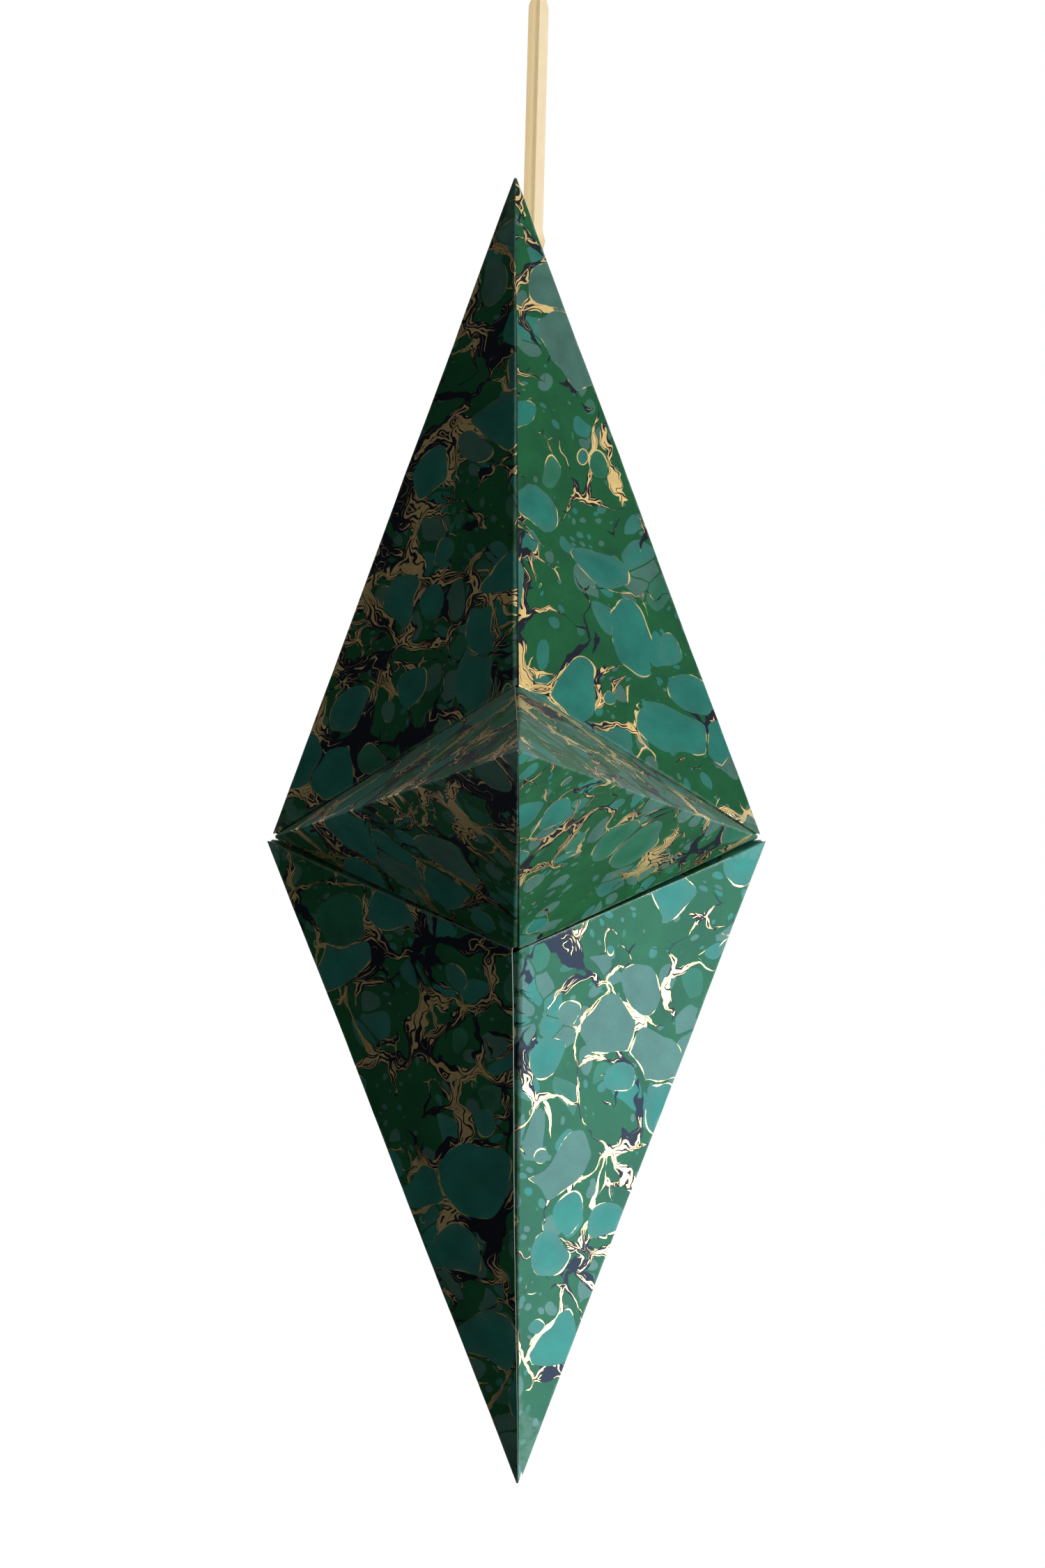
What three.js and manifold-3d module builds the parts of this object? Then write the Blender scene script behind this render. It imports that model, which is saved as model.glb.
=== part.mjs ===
// Hanging paper star: four hollow points, each folded from two halves of marbled paper,
// hung from a narrow satin ribbon. Millimetres, +Z up, +X to the right, the front point
// towards -Y. The origin is where the ribbon's loop bears on a hook, and the star hangs
// plumb below it.

import * as THREE from 'three';
import { mergeVertices } from 'three/addons/utils/BufferGeometryUtils.js';
import Module from 'manifold-3d';

const wasm = await Module();
wasm.setup();

// Star
const topLength = 117.8; // centre to the tip of the upper point
const bottomLength = 112.3; // centre to the tip of the lower point
const sideLength = 93; // centre to the tips of the front and back points
const poleReach = 42.3; // centre to the corners on the left and right
const bottomPoleReach = 43.4; // the lower point's corners stand a little further out
const valleyOffset = 23; // a valley's deep end lies this far along both of its points
const poleGap = 0.6; // each corner stops this far short of the pole axis
const bottomPoleGap = 1.2; // and the lower point's corners a little more

// Paper and its glued joins
const paper = 0.3;
const glueGap = 0.3; // glue line between two sheets
const tabWidth = 6; // seam tab, glued under the other half of the point
const tabTipSetback = 28;
const tabValleySetback = 2;
const tabTaper = 5; // the tab's ends are cut back this far
const tabRoot = 1.5; // where the tab runs into its own half
const lapSetback = 1; // the covering half's edge stops short of the seam, most at the valley
const flapWidth = 5; // valley flap, glued to the next point's flap
const flapPoleSetback = 5;
const flapValleySetback = 2;
const flapTaper = 8;

// Ribbon
const ribbonWidth = 3;
const ribbonThickness = 0.25;
const ribbonGap = 0.3; // between the ribbon and what it passes
const strandTurn = 50; // degrees: the two strands face left and right of the front
const strandOverlap = 0.36; // the left strand covers the right one's inner edge by this much
const anchorDrop = 20; // slit below the top point's tip
const anchorSide = 2.2; // slit to the right of the back seam
const anchorStandoff = 1; // plumb line outside the slit
const entryAngle = 40; // degrees between the ribbon and the paper in the slit
const tailHeight = 15; // the ribbon turns with the star up to this height above the slit
const tailBend = 5; // the ribbon bends towards the slit over this length
const tailTwistShare = 0.5; // the tails lie parallel after this share of their bend
const tailInside = 3; // ribbon inside the point, from the slit to the stop knot
const strandLength = 40.5; // free ribbon between the star and the upper knot
const knotRadius = 2.2;
const loopRadius = 6.5;
const loopDrop = 22; // hook to the middle of the upper knot
const loopLegGap = 1; // half the distance between the loop's legs at the knot

const marbledPaper = new THREE.MeshStandardMaterial({ color: 0x1f5c3c, roughness: 0.5, metalness: 0 });
const satinRibbon = new THREE.MeshStandardMaterial({ color: 0xdcc48e, roughness: 0.45, metalness: 0 });

const xAxis = new THREE.Vector3(1, 0, 0);
const yAxis = new THREE.Vector3(0, 1, 0);
const zAxis = new THREE.Vector3(0, 0, 1);
const vector = (x, y, z) => new THREE.Vector3(x, y, z);
const along = (from, direction, distance) => from.clone().addScaledVector(direction, distance);

function toSolid(geometry) {
  const plain = geometry.clone();
  plain.deleteAttribute('normal');
  plain.deleteAttribute('uv');
  const merged = mergeVertices(plain, 1e-4);
  const vertProperties = new Float32Array(merged.attributes.position.array);
  const triVerts = new Uint32Array(merged.index.array);
  return new wasm.Manifold(new wasm.Mesh({ numProp: 3, vertProperties, triVerts }));
}

function toGeometry(solid) {
  const { vertProperties, triVerts } = solid.getMesh();
  const geometry = new THREE.BufferGeometry();
  geometry.setAttribute('position', new THREE.BufferAttribute(vertProperties, 3));
  geometry.setIndex(new THREE.BufferAttribute(triVerts, 1));
  return geometry;
}

// A flat sheet: the outline's points lie in one plane, and the sheet is as thick as the
// paper, on the side that `into` points to.
function sheet(outline, into) {
  const u = outline[1].clone().sub(outline[0]).normalize();
  const normal = new THREE.Vector3().crossVectors(u, outline[2].clone().sub(outline[0])).normalize();
  if (normal.dot(into) < 0) normal.negate();
  const v = new THREE.Vector3().crossVectors(normal, u);
  const flat = outline.map((point) => {
    const offset = point.clone().sub(outline[0]);
    return new THREE.Vector2(offset.dot(u), offset.dot(v));
  });
  const geometry = new THREE.ExtrudeGeometry(new THREE.Shape(flat), { depth: paper, bevelEnabled: false });
  geometry.applyMatrix4(new THREE.Matrix4().makeBasis(u, v, normal).setPosition(outline[0]));
  return toSolid(geometry);
}

// A block that fills everything beyond a plane, far enough to cover one point of the star.
function beyond(point, normal) {
  const size = 4 * Math.max(topLength, bottomLength, sideLength);
  const geometry = new THREE.BoxGeometry(size, size, size).translate(0, 0, size / 2);
  geometry.applyQuaternion(new THREE.Quaternion().setFromUnitVectors(zAxis, normal));
  return toSolid(geometry.translate(point.x, point.y, point.z));
}

// The corners and outward normal of one facet. A point stands along +Z with its ridges in
// the plane y = 0 and its seams in the plane x = 0: side picks the ridge, bank the seam.
function facet({ length, reach, gap }, side, bank) {
  const shift = glueGap / (2 * Math.SQRT2);
  const tip = vector(0, 0, length);
  const pole = vector(side * reach, 0, gap);
  const valley = vector(0, bank * (valleyOffset - shift), valleyOffset + shift);
  const ridge = pole.clone().sub(tip);
  const normal = new THREE.Vector3().crossVectors(ridge, valley.clone().sub(tip)).normalize();
  if (normal.x * side < 0) normal.negate();
  return { tip, pole, valley, normal };
}

// The flap along a valley is folded into the star and faces the next point's flap.
function valleyFlap({ pole, valley }, bank) {
  const edge = valley.clone().sub(pole);
  const length = edge.length();
  edge.divideScalar(length);
  const outwards = vector(0, bank, 1).normalize();
  const inwards = along(outwards, edge, -outwards.dot(edge)).normalize().negate();
  const start = flapPoleSetback;
  const end = length - flapValleySetback;
  const outline = [
    along(pole, edge, start),
    along(pole, edge, end),
    along(along(pole, edge, end - flapTaper), inwards, flapWidth),
    along(along(pole, edge, start + flapTaper), inwards, flapWidth),
  ];
  return sheet(outline, vector(0, -bank, 1));
}

// The tab runs under the facet of the point's other half, one glue line below it.
function seamTab(own, other) {
  const edge = other.valley.clone().sub(other.tip);
  const length = edge.length();
  edge.divideScalar(length);
  const across = new THREE.Vector3().crossVectors(edge, other.normal).normalize();
  if (across.dot(other.pole) < 0) across.negate();
  const start = along(along(other.tip, edge, tabTipSetback), other.normal, -(paper + glueGap));
  const run = length - tabTipSetback - tabValleySetback;
  const outline = [
    along(start, across, -tabRoot),
    along(along(start, edge, run), across, -tabRoot),
    along(start, edge, run),
    along(along(start, edge, run - tabTaper), across, tabWidth),
    along(along(start, edge, tabTaper), across, tabWidth),
    start,
  ];
  return sheet(outline, other.normal.clone().negate()).subtract(beyond(own.tip, own.normal));
}

// One half of a point: two facets folded along the ridge, a flap on each valley and one
// seam tab. Seen from outside with the tip up, the tab is always on the left-hand half.
function pointHalf(point, side) {
  const tabBank = side;
  let solid = null;
  for (const bank of [-1, 1]) {
    const face = facet(point, side, bank);
    const valleyEdge = face.pole.clone().sub(face.valley).normalize();
    const corner = bank === tabBank ? face.valley : along(face.valley, valleyEdge, lapSetback);
    const wall = sheet([face.tip, face.pole, corner], face.normal.clone().negate());
    const folded = wall.add(valleyFlap(face, bank));
    solid = solid ? solid.add(folded) : folded;
  }
  solid = solid.subtract(beyond(vector((side * glueGap) / 2, 0, 0), vector(-side, 0, 0)));
  return solid.add(seamTab(facet(point, side, tabBank), facet(point, -side, tabBank)));
}

const points = [
  { name: 'top', turn: 0, length: topLength, reach: poleReach, gap: poleGap },
  { name: 'front', turn: 90, length: sideLength, reach: poleReach, gap: poleGap },
  { name: 'bottom', turn: 180, length: bottomLength, reach: bottomPoleReach, gap: bottomPoleGap },
  { name: 'back', turn: 270, length: sideLength, reach: poleReach, gap: poleGap },
];

// The slit for the ribbon is in the top point's back right facet, beside the seam.
const slitFacet = facet(points[0], 1, 1);
const slitNormal = slitFacet.normal;
const slitAcross = new THREE.Vector3().crossVectors(zAxis, slitNormal).normalize();
const slitUp = new THREE.Vector3().crossVectors(slitNormal, slitAcross).normalize();
const slitRise = slitNormal.z * anchorDrop - slitNormal.x * anchorSide;
const slitCentre = vector(anchorSide, slitRise / slitNormal.y, topLength - anchorDrop);
const entryRadians = THREE.MathUtils.degToRad(entryAngle);
const slitLength = ribbonWidth + 2 * ribbonGap;
const slitThickness = 2 * ribbonThickness + 3 * ribbonGap;
const slitHeight = slitThickness / Math.sin(entryRadians) + paper / Math.tan(entryRadians);

function slit() {
  const depth = 4 * paper;
  const geometry = new THREE.BoxGeometry(slitLength, slitHeight, depth);
  const centre = along(slitCentre, slitNormal, -paper / 2);
  geometry.applyMatrix4(new THREE.Matrix4().makeBasis(slitAcross, slitUp, slitNormal).setPosition(centre));
  return toSolid(geometry);
}

const ornament = new THREE.Group();

function addMesh(parent, name, geometry, material) {
  const mesh = new THREE.Mesh(geometry, material);
  mesh.name = name;
  parent.add(mesh);
}

// The star hangs so that its centre is plumb below the ribbon's anchor.
const anchor = along(slitCentre, slitNormal, anchorStandoff);
const anchorHeight = -(loopDrop + knotRadius + ribbonGap + strandLength + ribbonGap + tailHeight);
const star = new THREE.Group();
star.quaternion.setFromUnitVectors(anchor.clone().normalize(), zAxis);
star.position.set(0, 0, anchorHeight).sub(anchor.clone().applyQuaternion(star.quaternion));
ornament.add(star);

for (const point of points) {
  const arm = new THREE.Group();
  arm.rotation.x = THREE.MathUtils.degToRad(point.turn);
  star.add(arm);
  for (const [hand, side] of [['left', -1], ['right', 1]]) {
    let half = pointHalf(point, side);
    if (point.name === 'top' && hand === 'right') half = half.subtract(slit());
    addMesh(arm, `${point.name}_point_${hand}_half`, toGeometry(half), marbledPaper);
  }
}

// A flat tape through its stations. Each gives the tape's middle and its width direction.
// Both broad faces are split along the same diagonals, so that a twist keeps its thickness.
function tape(stations) {
  const positions = [];
  const index = [];
  stations.forEach(({ at, across }, i) => {
    const before = stations[Math.max(i - 1, 0)].at;
    const after = stations[Math.min(i + 1, stations.length - 1)].at;
    const tangent = after.clone().sub(before).normalize();
    const normal = new THREE.Vector3().crossVectors(tangent, across).normalize();
    for (const [w, t] of [[-1, -1], [1, -1], [1, 1], [-1, 1]]) {
      const corner = along(along(at, across, (w * ribbonWidth) / 2), normal, (t * ribbonThickness) / 2);
      positions.push(corner.x, corner.y, corner.z);
    }
  });
  const last = 4 * (stations.length - 1);
  index.push(0, 2, 1, 0, 3, 2, last, last + 1, last + 2, last, last + 2, last + 3);
  for (let i = 0; i < last; i += 4) {
    for (let side = 0; side < 4; side += 1) {
      const next = (side + 1) % 4;
      const [a, b, c, d] = [i + side, i + next, i + 4 + next, i + 4 + side];
      index.push(...(side === 2 ? [a, b, d, b, c, d] : [a, b, c, a, c, d]));
    }
  }
  const geometry = new THREE.BufferGeometry();
  geometry.setAttribute('position', new THREE.Float32BufferAttribute(positions, 3));
  geometry.setIndex(index);
  return geometry;
}

// The two strands stand in a V, open to the back, and the left one laps over the right.
const strandRadians = THREE.MathUtils.degToRad(strandTurn);
const strandAcross = (side) => vector(Math.cos(strandRadians), side * Math.sin(strandRadians), 0);
const strandOffset = (ribbonWidth * Math.cos(strandRadians) - strandOverlap) / 2;
const strandClearance = ribbonThickness + ribbonGap;
const strandStep = strandClearance / Math.cos(strandRadians) + strandOverlap * Math.tan(strandRadians);
const strandPoint = (side, z) => vector(side * strandOffset, (side * strandStep) / 2, z);

// From the slit the ribbon's two tails rise to the strands and turn with the star.
const normalWorld = slitNormal.clone().applyQuaternion(star.quaternion);
const upWorld = slitUp.clone().applyQuaternion(star.quaternion);
const acrossWorld = slitAcross.clone().applyQuaternion(star.quaternion).negate();
const slitWorld = along(slitCentre, slitNormal, -paper / 2).applyQuaternion(star.quaternion).add(star.position);
const entry = along(upWorld.clone().multiplyScalar(Math.cos(entryRadians)), normalWorld, Math.sin(entryRadians));
const entryNormal = along(
  normalWorld.clone().multiplyScalar(Math.cos(entryRadians)), upWorld, -Math.sin(entryRadians));

function tail(side) {
  const through = along(slitWorld, entryNormal, (side * (ribbonThickness + ribbonGap)) / 2);
  const start = strandPoint(side, anchorHeight + tailHeight);
  const bendStart = strandPoint(side, anchorHeight + tailHeight - tailBend / 2);
  const curve = new THREE.CubicBezierCurve3(
    bendStart, along(bendStart, zAxis, -tailBend), along(through, entry, tailBend), through);
  const twist = new THREE.Quaternion().setFromUnitVectors(strandAcross(side), acrossWorld);
  const stations = [{ at: start, across: strandAcross(side) }];
  const steps = 12;
  for (let i = 0; i <= steps; i += 1) {
    const share = THREE.MathUtils.smoothstep(i / steps, 0, tailTwistShare);
    const part = new THREE.Quaternion().slerp(twist, share);
    stations.push({ at: curve.getPoint(i / steps), across: strandAcross(side).applyQuaternion(part) });
  }
  stations.push({ at: along(through, entry, -tailInside), across: acrossWorld });
  return tape(stations);
}

// An overhand knot, with one of its three lobes along +X.
function knot() {
  const tube = knotRadius / 5;
  return new THREE.TorusKnotGeometry((knotRadius - tube) / 1.5, tube, 48, 8, 2, 3);
}

// The loop: two legs from the upper knot, tangent to the round that bears on the hook.
function hangingLoop() {
  const radius = loopRadius + ribbonThickness / 2;
  const centre = vector(0, 0, -loopRadius);
  const foot = vector(loopLegGap, 0, -loopDrop + knotRadius + ribbonGap);
  const reach = foot.distanceTo(centre);
  const tangentAngle = Math.atan2(foot.z - centre.z, foot.x) + Math.acos(radius / reach);
  const stations = [{ at: foot, across: yAxis }];
  const steps = 16;
  const sweep = Math.PI - 2 * tangentAngle;
  for (let i = 0; i <= steps; i += 1) {
    const angle = tangentAngle + (sweep * i) / steps;
    const at = vector(radius * Math.cos(angle), 0, centre.z + radius * Math.sin(angle));
    stations.push({ at, across: yAxis });
  }
  stations.push({ at: vector(-foot.x, 0, foot.z), across: yAxis });
  return tape(stations);
}

for (const [hand, side] of [['left', -1], ['right', 1]]) {
  addMesh(ornament, `ribbon_${hand}_tail`, tail(side), satinRibbon);
  const bottom = anchorHeight + tailHeight + ribbonGap;
  const across = strandAcross(side);
  const stations = [
    { at: strandPoint(side, bottom), across },
    { at: strandPoint(side, bottom + strandLength), across },
  ];
  addMesh(ornament, `ribbon_${hand}_strand`, tape(stations), satinRibbon);
}

const stopKnotCentre = along(slitWorld, entry, -(tailInside + ribbonGap + knotRadius));
const stopKnot = knot().applyQuaternion(new THREE.Quaternion().setFromUnitVectors(xAxis, entry));
stopKnot.translate(stopKnotCentre.x, stopKnotCentre.y, stopKnotCentre.z);
addMesh(ornament, 'ribbon_stop_knot', stopKnot, satinRibbon);
const upperKnot = knot().rotateY(-Math.PI / 2).rotateZ(Math.PI / 2).translate(0, 0, -loopDrop);
addMesh(ornament, 'ribbon_upper_knot', upperKnot, satinRibbon);
addMesh(ornament, 'ribbon_hanging_loop', hangingLoop(), satinRibbon);

export default ornament;
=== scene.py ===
# A hanging star of marbled paper on a satin ribbon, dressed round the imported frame.
# Sizes in the dictionaries are millimetres and degrees; meshes are in metres.
import math

import bmesh
import bpy
from mathutils import Matrix, Quaternion, Vector, noise


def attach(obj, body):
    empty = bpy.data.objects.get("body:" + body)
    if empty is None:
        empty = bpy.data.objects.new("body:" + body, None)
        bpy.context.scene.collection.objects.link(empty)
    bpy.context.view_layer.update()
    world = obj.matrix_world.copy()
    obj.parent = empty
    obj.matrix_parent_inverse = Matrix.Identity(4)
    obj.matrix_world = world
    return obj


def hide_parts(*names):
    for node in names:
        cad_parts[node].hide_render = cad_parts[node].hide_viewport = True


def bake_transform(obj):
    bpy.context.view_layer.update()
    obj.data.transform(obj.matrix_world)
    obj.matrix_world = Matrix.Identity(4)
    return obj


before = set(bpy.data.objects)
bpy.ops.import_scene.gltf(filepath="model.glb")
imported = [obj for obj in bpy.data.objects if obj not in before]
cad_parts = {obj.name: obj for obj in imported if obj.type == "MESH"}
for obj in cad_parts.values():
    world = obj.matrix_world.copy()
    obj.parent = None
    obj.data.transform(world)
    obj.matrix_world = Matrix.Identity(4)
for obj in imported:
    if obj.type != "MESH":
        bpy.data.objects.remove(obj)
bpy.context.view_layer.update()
print("frame loaded:", len(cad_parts), "nodes")

mm = 0.001  # in metres
metres = Matrix.Scale(mm, 4)
up = Vector((0, 0, 1))
hands = (("left", -1), ("right", 1))
noise.seed_set(4)  # the paper strays from flat in the same way on every run


def linearColour(hexValue):
    channels = [int(hexValue[i:i + 2], 16) / 255 for i in (1, 3, 5)]
    return [c / 12.92 if c <= 0.04045 else ((c + 0.055) / 1.055) ** 2.4 for c in channels] + [1]


def addNode(tree, kind, settings, inputs):
    made = tree.nodes.new("ShaderNode" + kind)
    for name, value in settings.items():
        setattr(made, name, value)
    for socket, value in inputs.items():
        if isinstance(value, bpy.types.Node):
            value = value.outputs[0]
        if isinstance(value, bpy.types.NodeSocket):
            tree.links.new(value, made.inputs[socket])
        else:
            made.inputs[socket].default_value = value
    return made


def newMaterial(name):
    material = bpy.data.materials.new(name)
    material.use_nodes = True
    material.node_tree.nodes.clear()
    return material, material.node_tree


def smoothStep(value):
    value = min(max(value, 0), 1)
    return value * value * (3 - 2 * value)


# Four points, each turned about X from the top one. Lengths and reaches keep within half
# a millimetre of the solids', and allow for what the rounding takes off each corner.
star = {
    "points": {
        "top": {"turn": 0, "length": 118.2, "reach": 42.6, "gap": 0.4, "lap": 0.5},
        "front": {"turn": 90, "length": 93.0, "reach": 42.2, "gap": 0.6, "lap": 0.5},
        "bottom": {"turn": 180, "length": 112.3, "reach": 43.6, "gap": 0.6, "lap": 1.2},
        "back": {"turn": 270, "length": 93.0, "reach": 42.2, "gap": 0.6, "lap": 0.5},
    },
    "valley": 23.0,  # a valley's deep end, along both of its points
    "valleyGap": 0.1,  # from a facet to the middle of its valley
    "apexLift": 0.8,  # the facets would meet this far above the blunt tip
}

# The ribbon's way out of the star, which also sets how the star hangs.
ribbon = {
    "width": 3.0,
    "thickness": 0.25,
    "gap": 0.3,
    "turn": 50,  # the two strands face left and right of the front
    "overlap": 0.36,  # the left strand laps over the right one by this much
    "slitDrop": 20.0,  # slit below the top point's tip
    "slitSide": 2.2,  # slit to the right of the back seam
    "standoff": 1.0,  # plumb line outside the slit
    "entry": 40,  # between the ribbon and the paper in the slit
    "tailHeight": 15.0,
    "tailBend": 5.0,
    "inside": 3.0,  # from the slit to the stop knot
    "strandLength": 40.5,
    "knotRadius": 2.2,
    "loopRadius": 6.5,
    "loopDrop": 22.0,  # hook to the middle of the upper knot
    "loopLegGap": 1.0,
}


def facetCorners(point, side, bank, lift, valleyGap=star["valleyGap"]):
    shift = valleyGap / math.sqrt(2)
    apex = Vector((0, 0, point["length"] + lift))
    pole = Vector((side * point["reach"], 0, point["gap"]))
    valley = Vector((0, bank * (star["valley"] - shift), star["valley"] + shift))
    normal = (pole - apex).cross(valley - apex).normalized()
    if normal.x * side < 0:
        normal.negate()
    return apex, pole, valley, normal


# The slit is in the top point's back right facet, and the star hangs plumb below it.
# The solid's own facet gives the slope, so that the star hangs as the solids do.
solidTop = {"length": 117.8, "reach": 42.3, "gap": 0.6}
solidValleyGap = 0.15
slitNormal = facetCorners(solidTop, 1, 1, 0, solidValleyGap)[3]
slitAcross = up.cross(slitNormal).normalized()
slitUp = slitNormal.cross(slitAcross).normalized()
slitRise = slitNormal.z * ribbon["slitDrop"] - slitNormal.x * ribbon["slitSide"]
slitCentre = Vector((
    ribbon["slitSide"], slitRise / slitNormal.y, solidTop["length"] - ribbon["slitDrop"]))
anchor = slitCentre + slitNormal * ribbon["standoff"]
strandTop = -(ribbon["loopDrop"] + ribbon["knotRadius"] + ribbon["gap"])
tailTop = strandTop - ribbon["strandLength"] - ribbon["gap"]
anchorHeight = tailTop - ribbon["tailHeight"]
hangTurn = anchor.rotation_difference(up)
starCentre = up * anchorHeight - hangTurn @ anchor
starPlace = Matrix.Translation(starCentre) @ hangTurn.to_matrix().to_4x4()
print("star centre (mm):", [round(v, 2) for v in starCentre])

# Camera: a long lens a little below the star, set from the star's corners in the photograph.
view = {
    "distance": 1150,
    "below": 11.02,
    "roll": 1.528,
    "lens": 151.3,
    "sensor": 36,
    "imageHeight": 2250,
    "centreRight": -8.6,  # star centre from the middle of the picture, in pixels
    "centreUp": -76.4,
    "farthest": 50,  # in metres
}


def addCamera():
    camera = bpy.data.objects.new("camera", bpy.data.cameras.new("camera"))
    bpy.context.collection.objects.link(camera)
    camera.data.sensor_width = view["sensor"]
    camera.data.lens = view["lens"]
    camera.data.clip_end = view["farthest"]
    tilt = math.radians(view["below"])
    roll = math.radians(view["roll"])
    towards = Vector((0, math.cos(tilt), math.sin(tilt)))
    level = Vector((1, 0, 0))
    right = level * math.cos(roll) + level.cross(towards) * math.sin(roll)
    above = right.cross(towards)
    focal = view["lens"] / view["sensor"] * view["imageHeight"]
    look = (towards * focal - right * view["centreRight"] - above * view["centreUp"]).normalized()
    right = (right - look * right.dot(look)).normalized()
    axes = Matrix((right, right.cross(look), -look)).transposed().to_4x4()
    place = (starCentre - towards * view["distance"]) * mm
    camera.matrix_world = Matrix.Translation(place) @ axes
    bpy.context.scene.camera = camera


addCamera()
print("camera placed")


# Marbled paper: colours floated on size, dropped in turn and lifted on a sheet, then
# calendered. The eye sees round green and teal stones pressed together, black veins
# between them with streaks of gold, a soft satin sheen and a fine tooth.
marble = {
    "ground": "#1a5a2b",
    "groundDeep": "#154b24",
    "teal": "#27715f",
    "slate": "#486c5b",
    "moss": "#256545",
    "black": "#0f0d10",
    "gold": "#cbae70",
    "shadeLength": 9.0,  # light and dark of the green ground
    "driftLength": 24.0,  # slow drift of the whole bath
    "drift": 8.0,
    "curlLength": 7.0,  # eddies along the veins
    "curl": 5.0,
    "rippleLength": 2.6,
    "ripple": 1.7,
    "crowdLength": 90.0,  # some parts of the sheet are richer in veins
    "crowd": 0.65,
    "rockLength": 9.0,  # unevenness of the drops' outlines
    "rock": 3.6,
    "gap": 0.15,  # half the film left between two stones pressed together
    "round": 0.3,  # their corners, as a share of the spacing
    "patchiness": 1.6,  # how much fuller of drops one patch is than another
    "rim": 2.4,  # a stone's outer band, greyer than its middle
    "rimGrey": 0.55,
    "edge": 0.05,  # softness of an ink's edge
    "cloudLength": 6.0,  # the inks lie thicker and thinner
    "cloud": 0.5,
}
# Later drops push the earlier ones aside: droplets, pebbles and the large stones. A size
# below nothing leaves a drop out. Up to the first share a drop is teal, then slate, then moss.
drops = {
    "droplets": {"spacing": 2.2, "least": -0.9, "most": 0.65, "patch": 12.0, "shares": (0.45, 0.9)},
    "pebbles": {"spacing": 5.2, "least": -1.6, "most": 3.6, "patch": 27.0, "shares": (0.35, 0.86)},
    "stones": {"spacing": 11.5, "least": -2.0, "most": 7.4, "patch": 40.0, "shares": (0.6, 0.93)},
}
# veins squeezed into the gaps; a width below nothing breaks the vein off
veins = {
    "pebbles": {"length": 11.0, "from": 0.775, "to": 1.2, "power": 1.3, "least": -0.25, "most": 1.3},
    "stones": {"length": 17.0, "from": 0.655, "to": 1.1, "power": 1.8, "least": -0.12, "most": 2.6},
}
# in a vein the black and gold films lie in streaks, with black along both borders
films = {
    "wanderLength": 6.0,  # the streaks wander from side to side
    "wander": 4.5,
    "shareLength": 13.0,  # some stretches are mostly black, others mostly gold
    "laneLeast": 0.35,  # a streak's own width, and what a wide vein adds to it
    "laneShare": 0.45,
    "streaks": 3.2,
    "border": 0.3,
    "borderLean": -0.13,
    "giltFrom": 0.03,  # the film turns from black to gold between these
    "giltTo": 0.065,
}
# a thread of gold clings to parts of the stones' outlines
goldThread = {"length": 5.0, "from": 0.46, "to": 0.66, "least": -0.06, "most": 0.13}
# the dry sheet: its tooth, the paint rubbed thin along the folds with a painted highlight there too,
# and the polish
finish = {
    "tooth": 0.3,  # coarser than real, so that it shows
    "toothDepth": 0.1,
    "toothBump": 0.12,
    "toothFrom": 0.2,
    "toothTo": 0.8,
    "grain": 0.13,
    # the pale band along the folds is partly real rubbed paint and partly a painted highlight on the
    # rounded folds
    "fibreAndHighlight": "#8fa894",
    "rubAndHighlightLength": 1.6,
    "rubAndHighlightReach": 0.95,  # from the fold, less where the noise is strong
    "rubAndHighlightRagged": 0.9,
    "rubAndHighlightSoft": 0.5,
    "rubAndHighlightMost": 0.35,
    "roughness": 0.46,
    "goldRoughness": 0.4,
    "index": 1.5,
    # the blue of the polish is painted in: a painted reflection of sky light that the lamps and world
    # don't give
    "skyTintedGloss": "#93aecb",  # the polish gives back the sky's blue,
    "bronzing": 4.9,  # and the dry colours' own hue
    "glance": "#fff6ea",  # at a slant the polish is whiter and stronger,
    "glossLeast": 0.04,
    "glossMost": 0.17,  # though the tooth keeps it low
    "slantMost": 0.5,
}


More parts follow.
